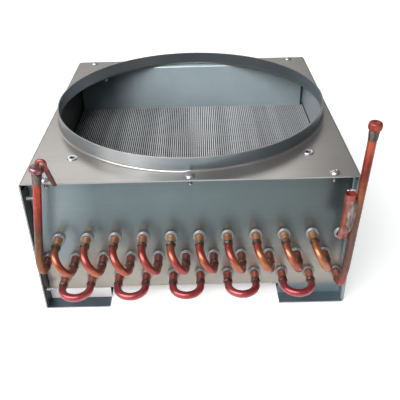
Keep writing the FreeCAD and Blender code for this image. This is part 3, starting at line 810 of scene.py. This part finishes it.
def holder():
    """Short tube with a widened open mouth above and a flattened end below, brazed to the outlet pipe."""
    level = outlet_foot + outlet_up * ((-holder_top_depth - outlet_foot.z) / outlet_up.z)
    towards = outlet_up.cross(ALONG_TUBES)
    mouth = level + towards * (tube_radius + holder_mouth_radius)
    flattened = [(44.6, 0.8, 4.2), (45.0, 1.2, 4.6), (43.0, 1.5, 4.7), (40.0, 2.1, 4.6), (37.0, 3.0, 4.4),
                 (33.0, 3.8, 4.2), (24.0, 4.1, 4.1)]
    outside = [(13.5, 4.15), (12.0, 4.2), (10.0, 4.35), (8.4, 4.45), (7.0, 4.5), (2.0, 4.55), (0.5, 4.75),
               (0.0, holder_mouth_radius)]
    inside = [(0.1, 4.25), (7.5, 4.05), (12.0, 2.7), (30.0, 2.55)]
    soup = Soup()
    spots = flattened + [(d, r, r) for d, r in outside + inside]
    shell(soup, spots, mouth, -outlet_up, 48, lumps(0.28, 0.035, 9))
    soup.build("holder_tube_pinched", holder_copper, ["holder_tube"], smooth=50)
    patch = [(3.6, 1.0, 1.4), (4.4, 3.8, 3.2), (6.5, 5.4, 4.8), (11.0, 5.5, 5.4), (17.0, 5.4, 5.3),
             (22.0, 5.5, 5.4), (27.0, 5.2, 5.0), (32.0, 4.8, 4.4), (36.0, 4.0, 3.4), (38.5, 2.4, 2.2),
             (39.5, 0.6, 0.8)]
    patch_offset = 5.9
    step = 0.6
    fine = []
    for first, second in zip(patch, patch[1:]):
        parts = max(1, round((second[0] - first[0]) / step))
        fine += [tuple(a + (b - a) * k / parts for a, b in zip(first, second)) for k in range(parts)]
    soup = Soup()
    patch_top = level + towards * patch_offset
    shell(soup, fine + [patch[-1]], patch_top, -outlet_up, 64, lumps(0.30, 0.11, 3))
    soup.build("holder_braze_patch", stain, ["holder_braze"], smooth=80)


def bead_wobble(seed):
    """Unevenness of one bead, which fades out at the lip of the mouth below it."""
    def wobble(turn, height):
        spot = Vector((2.2 * math.cos(turn), 2.2 * math.sin(turn), height * 0.8 + 7.3 * seed))
        return 0.05 * noise.noise(spot) * min(1, abs(height + 0.5))
    return wobble


def braze_beads():
    """Uneven collars of braze metal where the bends and pipes enter the swaged mouths."""
    outline = eased([(3.45, -0.5), (4.04, -0.5), (4.22, 0.0), (4.14, 0.6), (3.84, 1.2), (3.6, 1.9),
                     (3.45, 2.2)], 3)
    soup = Soup()
    for seed, tube in enumerate([tube for tube in tubes if tube != open_hole], 1):
        x, z = tube_place(*tube)
        lathe(soup, outline, (x, cup_mouth_y, z), (0, -1, 0), 40, bead_wobble(seed), closed=True)
    soup.build("braze_beads", beads, ["braze_rings"], smooth=80)


inlet_cap()
outlet_cap()
cap_bands()
process_tube()
holder()
braze_beads()


# Fasteners

def screw_head(soup, seat, axis, turn):
    """Domed washer head with a cross recess, and the shank with its thread."""
    seat = Vector(seat)
    axis = Vector(axis)
    side, other = side_of(axis)
    count = 72
    dome_height = 2.45
    dome_fall = 0.11                # times the radius squared
    arm_reach = 1.5
    arm_aspect = 4.2
    recess_depth = 1.4
    wall_depth, wall_run = 1.5, 0.5
    thread_radius = 1.9
    core_radius = 1.5
    thread_rings = 27
    thread_step = 0.35
    tapered_rings = 7
    tip_depth = 9.5
    rings = []
    for radius in (0.0, 0.35, 0.5, 0.65, 0.9, 1.2, 1.5, 1.8, 1.95, 2.1, 2.3, 2.6, 2.9, 3.2, 3.35):
        ring = []
        for u, v, _ in circle(radius, 0, count if radius else 1):
            arm = min(max(abs(u), abs(v) * arm_aspect), max(abs(v), abs(u) * arm_aspect))
            wall = wall_depth * max(0, 1 - max(0, arm - arm_reach) / wall_run)
            ring.append((u, v, dome_height - dome_fall * radius * radius - min(wall, recess_depth)))
        rings.append(ring)
    washer = ((3.5, 0.95), (3.62, 0.7), (4.1, 0.62), (4.2, 0.5), (4.2, 0.1), (4.1, 0.0),
              (thread_radius, 0.0))
    rings += [circle(radius, height, count) for radius, height in washer]
    for k in range(1, thread_rings):
        radius = thread_radius if k % 2 else core_radius
        rings.append(circle(radius * min(1, (thread_rings - k) / tapered_rings), -k * thread_step, count))
    rings.append([(0, 0, -tip_depth)])
    cosine, sine = math.cos(turn), math.sin(turn)

    def placed(u, v, h):
        return seat + side * (cosine * u - sine * v) + other * (sine * u + cosine * v) + axis * h

    soup.add_rings([[placed(*spot) for spot in ring] for ring in rings], count)


def screws():
    """Screws of the top and of the sides, each turned at random."""
    soup = Soup()
    outer = case_half - top_screw_margin
    for y in (case_front + top_screw_inset, case_back - top_screw_inset):
        for x in (-outer, 0, outer):
            screw_head(soup, (x, y, 0), (0, 0, 1), rng.uniform(0, 1.5))
    soup.build("top_screw_heads", zinc, ["top_screws"], smooth=32)
    soup = Soup()
    for side in (-1, 1):
        for y in (case_front + side_screw_inset, case_back - side_screw_inset):
            for z in (-side_screw_depth, side_screw_rise + floor_z):
                screw_head(soup, (side * case_half, y, z), (side, 0, 0), rng.uniform(0, 1.5))
    soup.build("side_screw_heads", zinc, ["side_screws"], smooth=32)


def inserts():
    """Threaded inserts: a rolled head over the sheet and a threaded bore."""
    head = eased([(3.5, -0.05), (4.7, 0.0), (4.85, 0.3), (4.7, 0.8), (4.2, 1.05), (3.0, 1.0), (2.4, 0.9)], 3)
    barrel_radius = 3.5
    bottom = -8.0
    bore_radius = 2.1
    bore_top = 0.6
    thread_depth = 0.28
    thread_step = 0.45
    bore = [(bore_radius + (thread_depth if k % 2 else 0), bore_top - k * thread_step) for k in range(19)]
    outline = [(barrel_radius, bottom)] + head + bore + [(bore_radius, bottom)]
    soup = Soup()
    for x in (-insert_half, insert_half):
        for y in (-insert_half, insert_half):
            lathe(soup, outline, (x, y, 0), (0, 0, 1), 48, closed=True)
    soup.build("threaded_inserts", insert_zinc, ["fan_inserts"], smooth=35)


screws()
inserts()


# Cut edges of the sheets, with the slight burr that a press leaves

def strip(soup, start, end, across, thick):
    """Bar along a straight edge from start to end, a little proud of its half widths across and thick."""
    start, end, across, thick = (Vector(v) for v in (start, end, across, thick))
    swell = 1.12
    points = []
    for place in (start, end):
        for a, b in ((-1, -1), (1, -1), (1, 1), (-1, 1)):
            points.append(place + across * (a * swell) + thick * (b * swell))
    soup.add(points, [(0, 3, 2, 1), (4, 5, 6, 7), (0, 1, 5, 4), (1, 2, 6, 5), (2, 3, 7, 6), (3, 0, 4, 7)])


def cut_edges():
    """The ring's rim, and the edges of the top, sides and feet at the front and back."""
    soup = Soup()
    rim = [(-1.26, -0.4), (-1.26, -0.1), (-1.05, 0.1), (-0.6, 0.14), (-0.15, 0.1), (0.06, -0.1),
           (0.06, -0.4)]
    lathe(soup, [(ring_radius + r, ring_height + h) for r, h in rim], (0, 0, 0), (0, 0, 1), 180, closed=True)
    half = case_half - case_fold
    half_sheet = case_sheet / 2
    depth = (0, 0.12, 0)
    foot_z = floor_z + 0.65
    half_foot = 0.55                # thinner, so that the burr stays above the floor
    for y in (case_front, case_back):
        strip(soup, (-half, y, -half_sheet), (half, y, -half_sheet), (0, 0, half_sheet), depth)
        for side in (-1, 1):
            x = side * (case_half - half_sheet)
            strip(soup, (x, y, -case_fold), (x, y, floor_z + case_fold), (half_sheet, 0, 0), depth)
            inner = side * (case_half - foot_width)
            strip(soup, (side * half, y, foot_z), (inner, y, foot_z), (0, 0, half_foot), depth)
    soup.build("cut_edges", edge_metal, smooth=35)


cut_edges()


# Camera at the photograph's viewing angle

def photo_camera():
    image_width = 400
    focal_length = 562.5            # in the image's pixels
    film_width = 36
    place = Vector((10.28, -543.03, 237.55)) * MM
    yaw, pitch, roll = (math.radians(a) for a in (-0.35, 33.01, -1.562))
    ahead = Vector((math.sin(yaw) * math.cos(pitch), math.cos(yaw) * math.cos(pitch), -math.sin(pitch)))
    right = Vector((math.cos(yaw), -math.sin(yaw), 0))
    up = right.cross(ahead)
    turned_right = right * math.cos(roll) + up * math.sin(roll)
    turned_up = up * math.cos(roll) - right * math.sin(roll)
    data = bpy.data.cameras.new("camera")
    data.sensor_width = film_width
    data.lens = focal_length / image_width * film_width
    data.clip_start = 0.01
    camera = bpy.data.objects.new("camera", data)
    rotation = Matrix((turned_right, turned_up, -ahead)).transposed().to_4x4()
    camera.matrix_world = Matrix.Translation(place) @ rotation
    bpy.context.scene.collection.objects.link(camera)
    bpy.context.scene.camera = camera


photo_camera()


# Studio

def softbox(name, place, target, width, height, power, colour):
    data = bpy.data.lights.new(name, "AREA")
    data.shape = "RECTANGLE"
    data.size = width
    data.size_y = height
    data.energy = power
    data.color = colour
    lamp = bpy.data.objects.new(name, data)
    lamp.location = place
    lamp.rotation_euler = (Vector(target) - Vector(place)).to_track_quat("-Z", "Y").to_euler()
    bpy.context.scene.collection.objects.link(lamp)


middle = (0, 0, -0.05)
softbox("key", (-1.25, -0.75, 0.9), middle, 1.05, 1.05, 24, (1.0, 0.99, 0.97))
softbox("front", (-0.5, -1.05, 1.05), middle, 1.1, 0.8, 24, (0.99, 0.99, 1.0))
softbox("fill", (1.2, -1.0, 0.8), middle, 0.8, 0.8, 2, (0.95, 0.98, 1.0))
softbox("back", (-0.32, 1.3, 1.0), (0, 0, 0), 1.55, 0.6, 5.2, (1.0, 0.99, 0.98))


def studio_world():
    """Pale surroundings, cooler overhead and weaker towards the right."""
    world = bpy.data.worlds.new("studio")
    bpy.context.scene.world = world
    world.use_nodes = True
    tree = world.node_tree
    tree.nodes.clear()
    out = tree.nodes.new("ShaderNodeOutputWorld")
    background = tree.nodes.new("ShaderNodeBackground")
    coords = tree.nodes.new("ShaderNodeTexCoord")
    split = tree.nodes.new("ShaderNodeSeparateXYZ")
    ramp = tree.nodes.new("ShaderNodeValToRGB")
    tree.links.new(coords.outputs["Generated"], split.inputs[0])
    tree.links.new(split.outputs[2], ramp.inputs[0])
    level, overhead = ramp.color_ramp.elements
    level.position = 0.0
    level.color = (0.62, 0.61, 0.59, 1)
    overhead.position = 0.9
    overhead.color = (0.80, 0.82, 0.85, 1)
    sides = tree.nodes.new("ShaderNodeMapRange")
    tree.links.new(split.outputs[0], sides.inputs["Value"])
    for key, number in (("From Min", -0.1), ("From Max", 0.7), ("To Min", 0.58), ("To Max", 0.2)):
        sides.inputs[key].default_value = number
    tree.links.new(ramp.outputs[0], background.inputs["Color"])
    tree.links.new(sides.outputs[0], background.inputs["Strength"])
    tree.links.new(background.outputs[0], out.inputs[0])


def studio_floor():
    """Pale floor that looks white and keeps the object's shadow."""
    half = 4.0
    glow = 0.45
    z = cad_box[0].z
    mesh = bpy.data.meshes.new("floor")
    corners = [(-half, -half, z), (half, -half, z), (half, half, z), (-half, half, z)]
    mesh.from_pydata(corners, [], [(0, 1, 2, 3)])
    floor = bpy.data.objects.new("floor", mesh)
    bpy.context.scene.collection.objects.link(floor)
    g = Graph("floor")
    g.set(Base_Color=(0.78, 0.78, 0.78), Roughness=0.9, Specular_IOR_Level=0.0)
    light = g.node("ShaderNodeLightPath")
    seen = g.math("ADD", light.outputs["Is Camera Ray"], light.outputs["Is Glossy Ray"])
    seen = g.math("ADD", seen, light.outputs["Is Transmission Ray"], clamp=True)
    g.set(Emission_Color=(1.0, 1.0, 1.0), Emission_Strength=g.product(seen, glow))
    mesh.materials.append(g.material)


studio_world()
studio_floor()

bpy.context.scene.view_settings.view_transform = "Standard"
